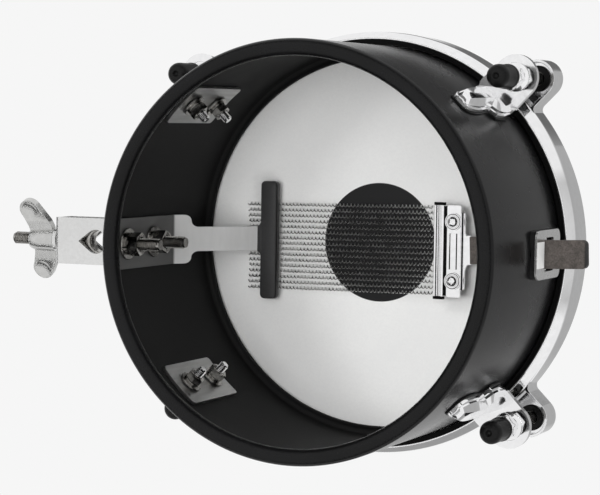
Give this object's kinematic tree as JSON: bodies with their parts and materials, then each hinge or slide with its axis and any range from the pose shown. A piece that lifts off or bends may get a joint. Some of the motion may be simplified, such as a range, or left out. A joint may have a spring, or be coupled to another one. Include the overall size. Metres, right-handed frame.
{
  "type": "snare timbale",
  "caption": "Small one-headed metal drum with a hoop drawn down by tension bolts, a lever-worked snare with coiled wires inside, and a rod clamp with a wing nut.",
  "frame": {"origin": "centre of the bounding box, on the plane the shell's open rim stands on", "axes": "+Z along the shell's axis towards the head, +X towards the snare lever's grip"},
  "size_m": [0.3739, 0.2744, 0.1555],
  "materials": {
    "black_paint": "satin",
    "white_film": "satin",
    "black_steel": "satin",
    "chrome": "polished",
    "dull_steel": "satin",
    "bolt_steel": "satin",
    "black_rubber": "matte",
    "grip_sleeve": "satin",
    "snare_wire": "bright"
  },
  "bodies": {
    "drum": {"shell": "black_paint", "head_film": "white_film", "flesh_hoop": "black_steel", "lug_1": "chrome", "lug_2": "chrome", "lug_3": "chrome", "lug_4": "chrome", "lug_gasket_1": "black_rubber", "lug_gasket_2": "black_rubber", "lug_gasket_3": "black_rubber", "lug_gasket_4": "black_rubber", "backing_plate_1": "dull_steel", "backing_plate_2": "dull_steel", "backing_plate_3": "dull_steel", "backing_plate_4": "dull_steel", "lug_nut_1": "bolt_steel", "lug_nut_2": "bolt_steel", "lug_nut_3": "bolt_steel", "lug_nut_4": "bolt_steel", "lug_nut_5": "bolt_steel", "lug_nut_6": "bolt_steel", "lug_nut_7": "bolt_steel", "lug_nut_8": "bolt_steel", "clamp_bracket": "chrome", "spring_arm": "dull_steel", "arm_pad": "black_rubber", "arm_bolt_1": "bolt_steel", "arm_bolt_2": "bolt_steel", "arm_nut_1": "bolt_steel", "arm_nut_2": "bolt_steel", "clamp_washer": "bolt_steel", "guide_plate": "chrome", "guide_pad": "black_rubber"},
    "hoop": {"counter_hoop": "chrome", "tension_bolt_1": "bolt_steel", "tension_bolt_2": "bolt_steel", "tension_bolt_3": "bolt_steel", "tension_bolt_4": "bolt_steel", "thread_cap_1": "black_rubber", "thread_cap_2": "black_rubber", "thread_cap_3": "black_rubber", "thread_cap_4": "black_rubber"},
    "tension_nut_1": {"tension_nut_1": "bolt_steel"},
    "tension_nut_2": {"tension_nut_2": "bolt_steel"},
    "tension_nut_3": {"tension_nut_3": "bolt_steel"},
    "tension_nut_4": {"tension_nut_4": "bolt_steel"},
    "eye_bolt": {"eye_bolt": "bolt_steel"},
    "wing_nut": {"wing_nut": "chrome"},
    "lever": {"snare_lever": "chrome", "grip_sleeve": "grip_sleeve", "clamp_plate": "chrome", "snare_wires": "snare_wire", "clamp_screw_1": "chrome", "clamp_screw_2": "chrome"}
  },
  "joints": [
    {"name": "hoop_lift", "type": "slide", "parent": "drum", "child": "hoop", "axis": [0, 0, 1], "range_m": [0, 0.002]},
    {"name": "tension_nut_1_turn", "type": "hinge", "parent": "drum", "child": "tension_nut_1", "pos_m": [0.13598, -0.10748, 0.0915], "axis": [0, 0, 1], "range_deg": [-580, 0]},
    {"name": "tension_nut_2_turn", "type": "hinge", "parent": "drum", "child": "tension_nut_2", "pos_m": [0.13598, 0.10748, 0.0915], "axis": [0, 0, 1], "range_deg": [-580, 0]},
    {"name": "tension_nut_3_turn", "type": "hinge", "parent": "drum", "child": "tension_nut_3", "pos_m": [-0.07898, 0.10748, 0.0915], "axis": [0, 0, 1], "range_deg": [-580, 0]},
    {"name": "tension_nut_4_turn", "type": "hinge", "parent": "drum", "child": "tension_nut_4", "pos_m": [-0.07898, -0.10748, 0.0915], "axis": [0, 0, 1], "range_deg": [-580, 0]},
    {"name": "eye_draw", "type": "slide", "parent": "drum", "child": "eye_bolt", "axis": [-1, 0, 0], "range_m": [0, 0.005]},
    {"name": "wing_nut_turn", "type": "hinge", "parent": "drum", "child": "wing_nut", "pos_m": [-0.1548, 0, 0.04375], "axis": [1, 0, 0], "range_deg": [0, 1445]},
    {"name": "snare_tilt", "type": "hinge", "parent": "drum", "child": "lever", "pos_m": [-0.0475, 0.00712, 0.1425], "axis": [-0.0349, -0.9994, 0], "range_deg": [0, 3.2]}
  ],
  "couplings": [
    {"joint": "tension_nut_1_turn", "follows": "hoop_lift", "rad_per_m": -5026.5},
    {"joint": "tension_nut_2_turn", "follows": "hoop_lift", "rad_per_m": -5026.5},
    {"joint": "tension_nut_3_turn", "follows": "hoop_lift", "rad_per_m": -5026.5},
    {"joint": "tension_nut_4_turn", "follows": "hoop_lift", "rad_per_m": -5026.5},
    {"joint": "wing_nut_turn", "follows": "eye_draw", "rad_per_m": 5026.5}
  ]
}
